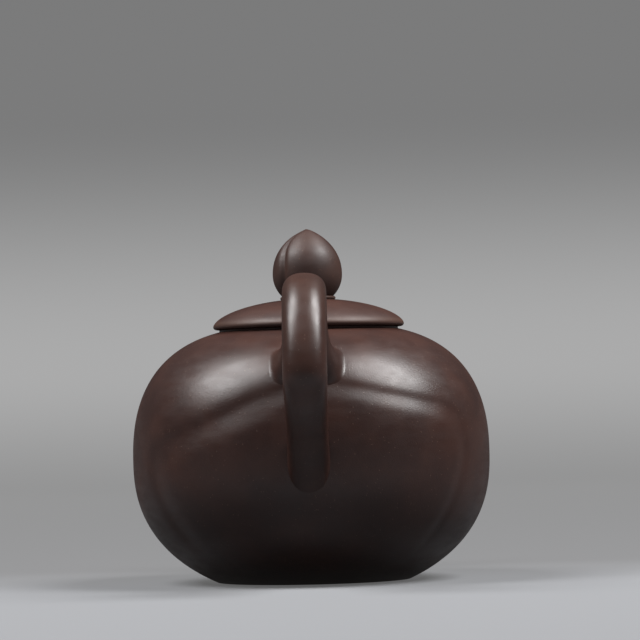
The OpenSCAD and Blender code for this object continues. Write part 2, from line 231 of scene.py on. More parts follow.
# Shape rules of the body
def profile(z):
    """Radius of the outside at a height, on the middle of a flat side."""
    z = np.asarray(z, float)
    fall = np.clip((BELLY_LEVEL - z) / BELLY_LEVEL, 0, None)
    lower = BELLY_R * np.sqrt(1 - (1 - (FOOT_R / BELLY_R) ** 2) * fall**FOOT_FULLNESS)
    rise = np.clip((z - BELLY_LEVEL) / (SHOULDER_LEVEL - BELLY_LEVEL), 0, 1)
    mouth_share = 1 - (REBATE_R / BELLY_R) ** SHOULDER_FULLNESS
    upper = BELLY_R * (1 - mouth_share * rise**FLANK_FULLNESS) ** (1 / SHOULDER_FULLNESS)
    return np.where(z < BELLY_LEVEL, lower, upper)


def ease(x):
    x = np.clip(x, 0, 1)
    return x * x * (3 - 2 * x)


def square_plan(cosine, sine, z):
    """Stretch of the radius where the plan leans from round to square."""
    share = np.minimum(
        (z - BASE_TOP) / (BELLY_LEVEL - BASE_TOP),
        (SHOULDER_LEVEL - z) / (SHOULDER_LEVEL - BELLY_LEVEL),
    )
    share = np.clip(share, 0, 1)
    power = 2 + SQUARENESS * share * (2 - share)
    return (np.abs(cosine) ** power + np.abs(sine) ** power) ** (-1 / power)


def panel_relief(cosine, sine, z):
    """Height of the raised panels over the wall."""
    side = np.arctan2(sine * np.sign(cosine), np.abs(cosine))
    out = np.abs(np.sin(side)) / math.sin(PANEL_ANGLE)
    drop = np.where(
        side > 0, PANEL_DROP_RIGHT * out**PANEL_BOW_RIGHT, PANEL_DROP_LEFT * out**PANEL_BOW_LEFT
    )
    below = PANEL_CREST - drop - z
    border = PANEL_ANGLE - PANEL_TAPER * np.clip(1 - z / BELLY_LEVEL, 0, 1)
    within = (border - np.abs(side)) * BELLY_R
    share = np.clip(0.5 + 0.5 * (within - below) / PANEL_CORNER, 0, 1)
    depth = within + (below - within) * share - PANEL_CORNER * share * (1 - share)
    spread = 1 + PANEL_SPREAD * ease(-side / SPREAD_ANGLE)
    depth = depth / spread
    step = PANEL_RISE * ease(0.5 + depth / PANEL_SLOPE)
    off = depth + VALLEY_OUT
    valley = VALLEY_DEPTH * np.exp(-((off / np.where(off < 0, VALLEY_ABOVE, VALLEY_BELOW)) ** 2))
    return (step - valley) * spread * ease((z - BASE_TOP) / PANEL_FADE)


def body_radius(x, y, z):
    r = np.hypot(x, y)
    cosine, sine = x / r, y / r
    return profile(z) * square_plan(cosine, sine, z) + panel_relief(cosine, sine, z)


def on_body(points, way):
    """Points moved along a direction until they meet the outside of the body."""
    way = np.asarray(way, float)
    near = np.full(len(points), -BELLY_R / 2)
    far = np.full(len(points), BELLY_R / 2)
    for _ in range(40):
        half = (near + far) / 2
        x, y, z = (points + way * half[:, None]).T
        outside = np.hypot(x, y) > body_radius(x, y, z)
        near = np.where(outside, half, near)
        far = np.where(outside, far, half)
    return points + way * near[:, None]


# Mesh helpers
def even(points, count):
    """As many points as asked, evenly spaced along a line of points."""
    points = np.asarray(points, float)
    length = np.concatenate([[0], np.cumsum(np.linalg.norm(np.diff(points, axis=0), axis=1))])
    wanted = np.linspace(0, length[-1], count)
    return np.stack([np.interp(wanted, length, column) for column in points.T], 1)


def turned(outline, count=AROUND):
    """Rings of points from an outline of (radius, height) points turned round the axis."""
    turn = np.linspace(0, 2 * math.pi, count, endpoint=False)
    r, z = np.asarray(outline, float).T
    return np.stack(
        [
            r[:, None] * np.cos(turn),
            r[:, None] * np.sin(turn),
            np.repeat(z[:, None], count, 1),
        ],
        2,
    )


def ring_quads(index):
    """Faces between each ring of point numbers and the next."""
    here, ahead = index[:-1], index[1:]
    return np.stack([here, np.roll(here, -1, 1), np.roll(ahead, -1, 1), ahead], 2).reshape(-1, 4)


def skinned(name, rings, materials, loop=False, **marks):
    """A closed piece over rings of points, with marks as point attributes. Unless the rings loop, the
    first and the last ring are single points."""
    rings = np.asarray(rings, float)
    count, sides = rings.shape[:2]
    index = np.arange(count * sides).reshape(count, sides)
    if loop:
        index = np.vstack([index, index[:1]])
    mesh = bpy.data.meshes.new(name)
    mesh.from_pydata(rings.reshape(-1, 3).tolist(), [], ring_quads(index).tolist())
    for label, values in marks.items():
        attribute = mesh.attributes.new(label, "FLOAT", "POINT")
        attribute.data.foreach_set("value", np.broadcast_to(values, (count, sides)).ravel())
    work = bmesh.new()
    work.from_mesh(mesh)
    bmesh.ops.remove_doubles(work, verts=work.verts, dist=1e-7)
    bmesh.ops.recalc_face_normals(work, faces=work.faces)
    work.to_mesh(mesh)
    work.free()
    mesh.shade_smooth()
    piece = bpy.data.objects.new(name, mesh)
    bpy.context.scene.collection.objects.link(piece)
    for material in materials:
        mesh.materials.append(material)
    return piece


def bake_shape(piece):
    """Turns the result of the piece's modifiers into its plain mesh."""
    graph = bpy.context.evaluated_depsgraph_get()
    mesh = bpy.data.meshes.new_from_object(
        piece.evaluated_get(graph), preserve_all_data_layers=True, depsgraph=graph
    )
    piece.modifiers.clear()
    piece.data = mesh
    return piece


def crease(piece, degrees=38):
    """Keeps the piece's real corners crisp and the rest smooth."""
    piece.data.set_sharp_from_angle(angle=math.radians(degrees))
    return piece


def drill(piece, rings, material):
    """Cuts a turned hole through the piece and removes the drill."""
    bit = skinned("drill", rings, [material])
    cut = piece.modifiers.new("hole", "BOOLEAN")
    cut.operation = "DIFFERENCE"
    cut.solver = "EXACT"
    cut.object = bit
    bake_shape(piece)
    bpy.data.objects.remove(bit)
    return piece


# Node helpers
def put(tree, value, socket):
    """Joins an output to a socket, or sets the socket to a plain value."""
    if isinstance(value, bpy.types.NodeSocket):
        tree.links.new(value, socket)
    else:
        socket.default_value = value


def maths(tree, kind, *values, clamp=False):
    node = tree.nodes.new("ShaderNodeMath")
    node.operation = kind
    node.use_clamp = clamp
    for value, socket in zip(values, node.inputs):
        put(tree, value, socket)
    return node.outputs[0]


def ranged(tree, value, first, last, bottom=0.0, top=1.0, soft=True):
    """A value brought from one range to another, eased at both ends if soft."""
    node = tree.nodes.new("ShaderNodeMapRange")
    node.interpolation_type = "SMOOTHSTEP" if soft else "LINEAR"
    for socket, given in zip(node.inputs, (value, first, last, bottom, top)):
        put(tree, given, socket)
    return node.outputs[0]


def noise(tree, where, per_metre, detail=2.0, rough=0.5):
    """Noise with so many features to the metre."""
    node = tree.nodes.new("ShaderNodeTexNoise")
    put(tree, where, node.inputs["Vector"])
    put(tree, per_metre, node.inputs["Scale"])
    node.inputs["Detail"].default_value = detail
    node.inputs["Roughness"].default_value = rough
    return node.outputs[0]


def blend_colour(tree, share, first, second):
    node = tree.nodes.new("ShaderNodeMixRGB")
    for value, socket in zip((share, first, second), node.inputs):
        put(tree, value, socket)
    return node.outputs[0]


def new_group(name, kind, inputs, outputs):
    """A node group with named sockets, its input node and its output node."""
    tree = bpy.data.node_groups.new(name, kind)
    for direction, sockets in (("INPUT", inputs), ("OUTPUT", outputs)):
        for label, socket_type, *default in sockets:
            socket = tree.interface.new_socket(label, in_out=direction, socket_type=socket_type)
            if default:
                socket.default_value = default[0]
    given = tree.nodes.new("NodeGroupInput").outputs
    result = tree.nodes.new("NodeGroupOutput").inputs
    return tree, given, result


FLOAT, COLOUR, GEOMETRY = "NodeSocketFloat", "NodeSocketColor", "NodeSocketGeometry"
MATERIAL = "NodeSocketMaterial"

# Clay finish. Scales are features to the metre.
GRAIN_SCALE = 2600.0
MOTTLE_SCALE = 85.0
SAND_SCALE = 2200.0
BURNISH_SCALE = 150.0
GRAIN_HEIGHT = 0.08 * MM
POT_GLOSS = 0.46
GRAZING_GLOSS_SHARE = 0.1
GRAZING_START = 0.5


def sandy_grain():
    """Fine grain, soft mottling and scattered pale grains of sand."""
    tree, given, result = new_group(
        "Sandy grain",
        "ShaderNodeTree",
        [("Grain", FLOAT), ("Mottle", FLOAT), ("Sand", FLOAT), ("Sand share", FLOAT)],
        [("Height", FLOAT), ("Mottle", FLOAT), ("Sand", FLOAT)],
    )
    where = tree.nodes.new("ShaderNodeTexCoord").outputs["Object"]
    grain = noise(tree, where, given["Grain"], 3.0, 0.6)
    mottle = ranged(tree, noise(tree, where, given["Mottle"], 4.0, 0.55), 0.32, 0.68)
    cells = tree.nodes.new("ShaderNodeTexVoronoi")
    put(tree, where, cells.inputs["Vector"])
    put(tree, given["Sand"], cells.inputs["Scale"])
    chosen = tree.nodes.new("ShaderNodeSeparateColor")
    put(tree, cells.outputs["Color"], chosen.inputs[0])
    rare = maths(tree, "LESS_THAN", chosen.outputs[0], given["Sand share"])
    dot = ranged(tree, cells.outputs["Distance"], 0.42, 0.2)
    sand = maths(tree, "MULTIPLY", rare, dot)
    put(tree, maths(tree, "MULTIPLY_ADD", sand, 0.5, grain), result["Height"])
    put(tree, mottle, result["Mottle"])
    put(tree, sand, result["Sand"])
    return tree


def clay_colour():
    """Deep clay mottled with a warmer one, paler where sand shows and where hands have worn it."""
    tree, given, result = new_group(
        "Clay colour",
        "ShaderNodeTree",
        [
            ("Deep", COLOUR), ("Warm", COLOUR), ("Pale", COLOUR),
            ("Mottle", FLOAT), ("Sand", FLOAT), ("Worn", FLOAT),
        ],
        [("Colour", COLOUR)],
    )
    body = blend_colour(tree, given["Mottle"], given["Deep"], given["Warm"])
    sanded = blend_colour(tree, maths(tree, "MULTIPLY", given["Sand"], 0.45), body, given["Pale"])
    worn = blend_colour(tree, maths(tree, "MULTIPLY", given["Worn"], 0.5), sanded, given["Pale"])
    put(tree, worn, result["Colour"])
    return tree


def burnish():
    """Roughness of clay that was rubbed smooth in patches and polished further by hands."""
    tree, given, result = new_group(
        "Burnish",
        "ShaderNodeTree",
        [("Polished", FLOAT), ("Dry", FLOAT), ("Patches", FLOAT), ("Worn", FLOAT)],
        [("Roughness", FLOAT)],
    )
    where = tree.nodes.new("ShaderNodeTexCoord").outputs["Object"]
    strokes = tree.nodes.new("ShaderNodeMapping")
    strokes.inputs["Scale"].default_value = (1, 1, 3)
    put(tree, where, strokes.inputs["Vector"])
    patch = ranged(tree, noise(tree, strokes.outputs[0], given["Patches"], 3.0, 0.6), 0.3, 0.7)
    dull = maths(tree, "MULTIPLY", patch, maths(tree, "MULTIPLY_ADD", given["Worn"], -0.7, 1.0))
    rough = ranged(tree, dull, 0.0, 1.0, given["Polished"], given["Dry"], soft=False)
    put(tree, rough, result["Roughness"])
    return tree


GRAIN = sandy_grain()
TINT = clay_colour()
POLISH = burnish()


def add_group(tree, group, **values):
    node = tree.nodes.new("ShaderNodeGroup")
    node.node_tree = group
    for label, value in values.items():
        put(tree, value, node.inputs[label.replace("_", " ")])
    return node.outputs


def fired_clay(name, deep, warm, pale, polished, dry, sand_share=0.04, bump=0.35, specular=POT_GLOSS):
    """Unglazed clay in three tones, between a polished and a dry roughness."""
    material = bpy.data.materials.new(name)
    material.use_nodes = True
    tree = material.node_tree
    shader = tree.nodes["Principled BSDF"]
    attribute = tree.nodes.new("ShaderNodeAttribute")
    attribute.attribute_name = "worn"
    worn = attribute.outputs["Fac"]
    grain = add_group(
        tree, GRAIN, Grain=GRAIN_SCALE, Mottle=MOTTLE_SCALE, Sand=SAND_SCALE, Sand_share=sand_share
    )
    tint = add_group(
        tree, TINT, Deep=deep, Warm=warm, Pale=pale,
        Mottle=grain["Mottle"], Sand=grain["Sand"], Worn=worn,
    )
    polish = add_group(tree, POLISH, Polished=polished, Dry=dry, Patches=BURNISH_SCALE, Worn=worn)
    relief = tree.nodes.new("ShaderNodeBump")
    relief.inputs["Strength"].default_value = bump
    relief.inputs["Distance"].default_value = GRAIN_HEIGHT
    put(tree, grain["Height"], relief.inputs["Height"])
    put(tree, tint["Colour"], shader.inputs["Base Color"])
    put(tree, polish["Roughness"], shader.inputs["Roughness"])
    put(tree, relief.outputs["Normal"], shader.inputs["Normal"])
    grazing = tree.nodes.new("ShaderNodeLayerWeight").outputs["Facing"]
    sheen = ranged(tree, grazing, GRAZING_START, 1.0, specular, specular * GRAZING_GLOSS_SHARE)
    shader.inputs["Specular IOR Level"].default_value = specular
    put(tree, sheen, shader.inputs["Specular IOR Level"])
    return material


def tone(red, green, blue):
    """A colour written in display values from 0 to 255."""
    shares = [value / 255 for value in (red, green, blue)]
    linear = [s / 12.92 if s <= 0.04045 else ((s + 0.055) / 1.055) ** 2.4 for s in shares]
    return (*linear, 1.0)


POT_CLAY = fired_clay("pot_clay", tone(55, 36, 32), tone(65, 42, 36), tone(112, 86, 74), 0.33, 0.41)
LID_CLAY = fired_clay(
    "lid_clay", tone(56, 37, 33), tone(66, 43, 37), tone(118, 90, 76), 0.46, 0.58, specular=0.42
)
KNOB_CLAY = fired_clay(
    "knob_clay", tone(58, 40, 36), tone(68, 46, 39), tone(118, 90, 74), 0.46, 0.58, specular=0.42
)
HANDLE_CLAY = fired_clay(
    "handle_clay", tone(55, 37, 33), tone(65, 43, 37), tone(112, 86, 74), 0.31, 0.39, specular=0.42
)
RAW_CLAY = fired_clay(
    "raw_clay", tone(70, 51, 44), tone(82, 58, 49), tone(128, 98, 84), 0.62, 0.78,
    sand_share=0.1, bump=0.6,
)


# Geometry Nodes
def set_inputs(piece, tree, **values):
    """Adds the tree to the piece and sets its inputs by their identifiers."""
    modifier = piece.modifiers.new(tree.name, "NODES")
    modifier.node_group = tree
    names = {item.name: item.identifier for item in tree.interface.items_tree if item.in_out == "INPUT"}
    for label, value in values.items():
        modifier[names[label.replace("_", " ")]] = value
    return piece


def finish_tree(tree, geometry, material, result):
    """Ends a tree in plain geometry with its material."""
    plain = tree.nodes.new("GeometryNodeRealizeInstances")
    put(tree, geometry, plain.inputs[0])
    painted = tree.nodes.new("GeometryNodeSetMaterial")
    put(tree, plain.outputs[0], painted.inputs["Geometry"])
    put(tree, material, painted.inputs["Material"])
    put(tree, painted.outputs[0], result["Geometry"])
    return painted


def named(tree, name):
    node = tree.nodes.new("GeometryNodeInputNamedAttribute")
    node.data_type = "FLOAT"
    node.inputs["Name"].default_value = name
    return node.outputs["Attribute"]


def beaten_body():
    """Beats a turned shell towards a soft square and raises a panel on its two ends."""
    tree, given, result = new_group(
        "Beaten body",
        "GeometryNodeTree",
        [
            ("Geometry", GEOMETRY), ("Squareness", FLOAT), ("Base top", FLOAT), ("Belly level", FLOAT),
            ("Shoulder level", FLOAT), ("Belly radius", FLOAT), ("Panel rise", FLOAT),
            ("Panel crest", FLOAT), ("Panel angle", FLOAT), ("Panel taper", FLOAT), ("Drop right", FLOAT),
            ("Drop left", FLOAT), ("Bow right", FLOAT), ("Bow left", FLOAT), ("Slope", FLOAT),
            ("Spread", FLOAT), ("Spread angle", FLOAT), ("Corner", FLOAT), ("Fade", FLOAT),
            ("Valley depth", FLOAT), ("Valley above", FLOAT), ("Valley below", FLOAT),
            ("Valley out", FLOAT), ("Unevenness", FLOAT), ("Clay", MATERIAL), ("Lining", MATERIAL),
        ],
        [("Geometry", GEOMETRY)],
    )

    def do(kind, *values, clamp=False):
        return maths(tree, kind, *values, clamp=clamp)

    place = tree.nodes.new("GeometryNodeInputPosition").outputs[0]
    parts = tree.nodes.new("ShaderNodeSeparateXYZ")
    put(tree, place, parts.inputs[0])
    x, y, z = parts.outputs
    r = do("MAXIMUM", do("SQRT", do("ADD", do("MULTIPLY", x, x), do("MULTIPLY", y, y))), 1e-6)
    cosine = do("DIVIDE", do("ABSOLUTE", x), r)
    sine = do("DIVIDE", do("MULTIPLY", y, do("SIGN", x)), r)

    # Soft-square plan
    from_base = ranged(tree, z, given["Base top"], given["Belly level"], soft=False)
    from_mouth = ranged(tree, z, given["Shoulder level"], given["Belly level"], soft=False)
    share = do("MINIMUM", from_base, from_mouth)
    lean = do("MULTIPLY", share, do("SUBTRACT", 2.0, share))
    power = do("MULTIPLY_ADD", given["Squareness"], lean, 2.0)
    total = do("ADD", do("POWER", cosine, power), do("POWER", do("ABSOLUTE", sine), power))
    plan = do("POWER", total, do("DIVIDE", -1.0, power))

    # Distance in from the panel's edge
    side = do("ARCTAN2", sine, cosine)
    out = do("DIVIDE", do("ABSOLUTE", sine), do("SINE", given["Panel angle"]))
    right = do("MULTIPLY", given["Drop right"], do("POWER", out, given["Bow right"]))
    left = do("MULTIPLY", given["Drop left"], do("POWER", out, given["Bow left"]))
    on_right = do("GREATER_THAN", side, 0.0)
    drop = do("ADD", do("MULTIPLY", right, on_right), do("MULTIPLY", left, do("SUBTRACT", 1.0, on_right)))
    below = do("SUBTRACT", do("SUBTRACT", given["Panel crest"], drop), z)
    fallen = do("SUBTRACT", 1.0, do("DIVIDE", z, given["Belly level"]), clamp=True)
    border = do("SUBTRACT", given["Panel angle"], do("MULTIPLY", given["Panel taper"], fallen))
    within = do("MULTIPLY", do("SUBTRACT", border, do("ABSOLUTE", side)), given["Belly radius"])
    gap = do("SUBTRACT", within, below)
    mix = do("MULTIPLY_ADD", do("DIVIDE", gap, given["Corner"]), 0.5, 0.5, clamp=True)
    rounding = do("MULTIPLY", do("MULTIPLY", given["Corner"], mix), do("SUBTRACT", 1.0, mix))
    depth = do("SUBTRACT", do("SUBTRACT", within, do("MULTIPLY", gap, mix)), rounding)

    # Step and valley along the edge, wider on the left, sinking into the wall towards the base
    leftward = do("MULTIPLY", side, -1.0)
    spread = ranged(tree, leftward, 0.0, given["Spread angle"], 1.0, do("ADD", given["Spread"], 1.0))
    depth = do("DIVIDE", depth, spread)
    half = do("MULTIPLY", given["Slope"], 0.5)
    step = ranged(tree, depth, do("MULTIPLY", half, -1.0), half, 0.0, given["Panel rise"])
    off = do("ADD", depth, given["Valley out"])
    above = do("DIVIDE", do("MINIMUM", off, 0.0), given["Valley above"])
    off = do("ADD", do("DIVIDE", do("MAXIMUM", off, 0.0), given["Valley below"]), above)
    bell = do("EXPONENT", do("MULTIPLY", do("MULTIPLY", off, off), -1.0))
    valley = do("MULTIPLY", given["Valley depth"], bell)
    top = do("ADD", given["Base top"], given["Fade"])
    edge = do("MULTIPLY", do("SUBTRACT", step, valley), spread)
    relief = do("MULTIPLY", edge, ranged(tree, z, given["Base top"], top))

    # Slight unevenness of handwork, none of it at the foot and the mouth
    wobble = do("SUBTRACT", noise(tree, place, 38.0, 1.0), 0.5)
    uneven = do("MULTIPLY", do("MULTIPLY", wobble, given["Unevenness"]), share)
    outside = named(tree, "outside")
    moved = do("MULTIPLY", do("ADD", relief, uneven), outside)
    stretch = do("ADD", plan, do("DIVIDE", moved, r))
    joined = tree.nodes.new("ShaderNodeCombineXYZ")
    for axis, value in zip(joined.inputs, (do("MULTIPLY", x, stretch), do("MULTIPLY", y, stretch), z)):
        put(tree, value, axis)
    shaped = tree.nodes.new("GeometryNodeSetPosition")
    put(tree, given["Geometry"], shaped.inputs["Geometry"])
    put(tree, joined.outputs[0], shaped.inputs["Position"])
    painted = finish_tree(tree, shaped.outputs[0], given["Clay"], result)
    lined = tree.nodes.new("GeometryNodeSetMaterial")
    put(tree, painted.outputs[0], lined.inputs["Geometry"])
    put(tree, do("LESS_THAN", named(tree, "outside"), 0.5), lined.inputs["Selection"])
    put(tree, given["Lining"], lined.inputs["Material"])
    put(tree, lined.outputs[0], result["Geometry"])
    return tree


def pierced_strainer():
    """Pierces a half ball, whose axis is X, with rows of holes that point to its middle."""
    tree, given, result = new_group(
        "Pierced strainer",
        "GeometryNodeTree",
        [
            ("Geometry", GEOMETRY), ("Middle", "NodeSocketVector"), ("Radius", FLOAT),
            ("Hole radius", FLOAT), ("Depth", FLOAT), ("Clay", MATERIAL),
        ],
        [("Geometry", GEOMETRY)],
    )
    rows = tree.nodes.new("GeometryNodeJoinGeometry")
    for angle, count in STRAINER_ROWS:
        ring = tree.nodes.new("GeometryNodeMeshCircle")
        ring.inputs["Vertices"].default_value = max(3, count)
        reach = math.sin(math.radians(angle))
        put(tree, maths(tree, "MULTIPLY", given["Radius"], reach), ring.inputs["Radius"])
        lift = tree.nodes.new("ShaderNodeCombineXYZ")
        put(tree, maths(tree, "MULTIPLY", given["Radius"], math.cos(math.radians(angle))), lift.inputs[2])
        raised = tree.nodes.new("GeometryNodeTransform")
        put(tree, ring.outputs[0], raised.inputs["Geometry"])
        put(tree, lift.outputs[0], raised.inputs["Translation"])
        source = raised.outputs[0]
        if count == 1:
            merged = tree.nodes.new("GeometryNodeMergeByDistance")
            put(tree, source, merged.inputs["Geometry"])
            source = merged.outputs[0]
        put(tree, source, rows.inputs[0])
    drill_bit = tree.nodes.new("GeometryNodeMeshCylinder")
    drill_bit.inputs["Vertices"].default_value = 20
    put(tree, given["Hole radius"], drill_bit.inputs["Radius"])
    put(tree, given["Depth"], drill_bit.inputs["Depth"])
    place = tree.nodes.new("GeometryNodeInputPosition").outputs[0]
    aim = tree.nodes.new("FunctionNodeAlignRotationToVector")
    aim.axis = "Z"
    put(tree, place, aim.inputs["Vector"])
    bits = tree.nodes.new("GeometryNodeInstanceOnPoints")
    put(tree, rows.outputs[0], bits.inputs["Points"])
    put(tree, drill_bit.outputs["Mesh"], bits.inputs["Instance"])
    put(tree, aim.outputs[0], bits.inputs["Rotation"])
    turned_in = tree.nodes.new("GeometryNodeTransform")
    put(tree, bits.outputs[0], turned_in.inputs["Geometry"])
    put(tree, given["Middle"], turned_in.inputs["Translation"])
    turned_in.inputs["Rotation"].default_value = (0, math.radians(-90), 0)
    solid = tree.nodes.new("GeometryNodeRealizeInstances")
    put(tree, turned_in.outputs[0], solid.inputs[0])
    cut = tree.nodes.new("GeometryNodeMeshBoolean")
    cut.operation = "DIFFERENCE"
    cut.solver = "EXACT"
    put(tree, given["Geometry"], cut.inputs[0])
    put(tree, solid.outputs[0], cut.inputs[1])
    finish_tree(tree, cut.outputs[0], given["Clay"], result)
    return tree


# Pot
def pot_shell():
    """Wall, shoulder and base, luted and beaten to one shell."""
    hollow_r = FOOT_R - FOOT_RING
    hollow = np.linspace(0, hollow_r, 12)
    under = np.stack([hollow, BASE_HOLLOW * (1 - (hollow / hollow_r) ** 2)], 1)
    heights = SHOULDER_LEVEL * (1 - (1 - np.linspace(0, 1, 4000)) ** 2)
    outer = np.stack([profile(heights), heights], 1)
    outer_even = even(outer, 150)

    # The lining lies one wall in along the outside's normal, and rounds into the floor
    along = np.gradient(outer, axis=0)
    inward = np.stack([-along[:, 1], along[:, 0]], 1) / np.linalg.norm(along, axis=1)[:, None]
    lining = outer + WALL * inward
    kept = (lining[:, 0] > MOUTH_BORE_R) & (lining[:, 1] > BASE_TOP + WALL) & (heights > WALL)
    lining = lining[kept][::-1]
    lining = even(np.vstack([[MOUTH_BORE_R, lining[0, 1]], lining]), 60)
    corner = np.array([lining[-1, 0] - 3 * WALL, BASE_TOP])
    pull = np.array([lining[-1, 0] - WALL, BASE_TOP])
    t = np.linspace(0, 1, 10)[1:, None]
    cove = lining[-1] * (1 - t) ** 2 + 2 * pull * (1 - t) * t + corner * t**2
    floor = np.stack([np.linspace(corner[0], 0, 8)[1:], np.full(7, BASE_TOP)], 1)
    rebate = [[REBATE_R, REBATE_LEVEL], [MOUTH_BORE_R, REBATE_LEVEL]]
    outline = np.vstack([under, outer_even, rebate, lining, cove, floor])
    outside = (np.arange(len(outline)) < len(under) + len(outer_even)).astype(float)[:, None]
    worn = np.exp(-((outline[:, 1:] / (1.2 * MM)) ** 2)) * outside
    piece = skinned("pot_shell", turned(outline), [POT_CLAY, RAW_CLAY], worn=worn, outside=outside)
    set_inputs(
        piece, beaten_body(), Squareness=SQUARENESS, Base_top=BASE_TOP, Belly_level=BELLY_LEVEL,
        Shoulder_level=SHOULDER_LEVEL, Belly_radius=BELLY_R, Panel_rise=PANEL_RISE,
        Panel_crest=PANEL_CREST, Panel_angle=PANEL_ANGLE, Panel_taper=PANEL_TAPER,
        Drop_right=PANEL_DROP_RIGHT, Drop_left=PANEL_DROP_LEFT, Bow_right=PANEL_BOW_RIGHT,
        Bow_left=PANEL_BOW_LEFT, Slope=PANEL_SLOPE, Spread=PANEL_SPREAD, Spread_angle=SPREAD_ANGLE,
        Corner=PANEL_CORNER, Fade=PANEL_FADE, Valley_depth=VALLEY_DEPTH, Valley_above=VALLEY_ABOVE,
        Valley_below=VALLEY_BELOW, Valley_out=VALLEY_OUT, Unevenness=UNEVENNESS, Clay=POT_CLAY,
        Lining=RAW_CLAY,
    )
    bake_shape(piece)
    bore = turned([[0, 0], [STRAINER_BORE_R, 0], [STRAINER_BORE_R, BELLY_R], [0, BELLY_R]], 64)
    along_spout = np.stack([bore[..., 2] + BELLY_R / 2, bore[..., 1], SPOUT_LEVEL - bore[..., 0]], 2)
    return crease(drill(piece, along_spout, POT_CLAY))


def rounded_box(inner, outer, bottom, top, radius, steps=6):
    """Outline of a turned ring with round corners."""
    turn = np.linspace(0, math.pi / 2, steps)
    corners = (
        (outer - radius, bottom + radius, -math.pi / 2), (outer - radius, top - radius, 0),
        (inner + radius, top - radius, math.pi / 2), (inner + radius, bottom + radius, math.pi),
    )
    return np.vstack([
        np.stack([r + radius * np.cos(turn + start), z + radius * np.sin(turn + start)], 1)
        for r, z, start in corners
    ])


def mouth_ring():
    outline = rounded_box(MOUTH_BORE_R, MOUTH_RING_R, REBATE_LEVEL, SEAT_LEVEL, 0.3 * MM)
    worn = (outline[:, 1:] > SEAT_LEVEL - 0.4 * MM) * SEAT_WORN
    return skinned("mouth_ring", turned(outline), [POT_CLAY], loop=True, worn=worn)


# Spout and handle, swept along curves in the plane of the axis, as (x, height)
def curve_point(c, t):
    return c[0] * (1 - t) ** 3 + c[1] * 3 * (1 - t) ** 2 * t + c[2] * 3 * (1 - t) * t * t + c[3] * t**3


def curve_way(c, t):
    way = (c[1] - c[0]) * (1 - t) ** 2 + (c[2] - c[1]) * 2 * (1 - t) * t + (c[3] - c[2]) * t * t
    return way / np.linalg.norm(way)


SECTION = np.linspace(0, 2 * math.pi, 64, endpoint=False)


def section(point, facing, tall, wide, fullness=2.0, flare=0.0):
    """A ring across the path: tall in the plane of the axis, wide along Y, and flared outwards."""
    power = 2 / fullness
    cosine, sine = np.cos(SECTION), np.sin(SECTION)
    up = tall / 2 * np.sign(cosine) * np.abs(cosine) ** power + flare * cosine
    out = wide / 2 * np.sign(sine) * np.abs(sine) ** power + flare * sine
    return np.stack([point[0] + facing[1] * up, out, point[1] - facing[0] * up], 1)


def plug_rings(ring, inward):
    """Closes a root inside the wall."""
    deep = ring + inward * WALL / 3
    middle = np.repeat(deep.mean(0)[None], len(ring), 0)
    return [middle, middle + (deep - middle) * 0.9]


def toward(facing):
    """The path's direction as a vector in space."""
    return np.array([facing[0], 0, facing[1]])


def spout():
    start = np.array([body_radius(1.0, 0.0, SPOUT_LEVEL), SPOUT_LEVEL])
    end = np.array(SPOUT_END)
    span = end - start
    curve = [start, start + SPOUT_ROOT_PULL * span, end - SPOUT_TIP_PULL * span, end]
    facing = np.array([1.0, 0.0])
    inward = -toward(facing)

    def width(t):
        return 2 * (SPOUT_TIP_R + (SPOUT_ROOT_R - SPOUT_TIP_R) * (1 - t) ** SPOUT_TAPER)

    def cross(t, inset):
        size = width(t) - 2 * inset
        return section(curve_point(curve, t), curve_way(curve, t), size, size)

    times = np.linspace(0, 1, 60)
    reach = np.array([np.linalg.norm(curve_point(curve, t) - start) for t in times])
    plain_foot = on_body(section(start, facing, width(0), width(0)), inward)
    rings = []
    for turn in np.linspace(0, math.pi / 2, ROOT_TURNS):
        away = SPOUT_FILLET * (1 - math.cos(turn))
        flare = SPOUT_FILLET * (1 - math.sin(turn))
        ring = on_body(section(start, facing, width(0), width(0), flare=flare), inward)
        rings.append(ring - inward * (away - SINK))
    for t, away in zip(times, reach):
        if away > SPOUT_FILLET * 1.1:
            share = ease((away - SPOUT_FILLET) / (2 * SPOUT_FILLET))
            rings.append((plain_foot - inward * away) * (1 - share) + cross(t, 0) * share)
    lip_back = curve_way(curve, 1.0) * LIP_ROUND
    rings = rings[:-2]
    for turn in np.linspace(0, math.pi, ROOT_TURNS):
        inset = SPOUT_WALL / 2 * (1 - math.cos(turn))
        forward = toward(lip_back) * (math.sin(turn) - 1)
        rings.append(cross(1.0, inset) + forward)
    inner = [cross(t, SPOUT_WALL) for t in times[::-1] if 0 < t < 1 - 2 / len(times)]
    inner_foot = on_body(cross(0.0, SPOUT_WALL), inward) + inward * WALL / 3
    worn = np.zeros(len(rings) + len(inner) + 1)
    worn[len(rings) - ROOT_TURNS : len(rings)] = SPOUT_LIP_WORN
    return skinned("spout", rings + inner + [inner_foot], [POT_CLAY], loop=True, worn=worn[:, None])


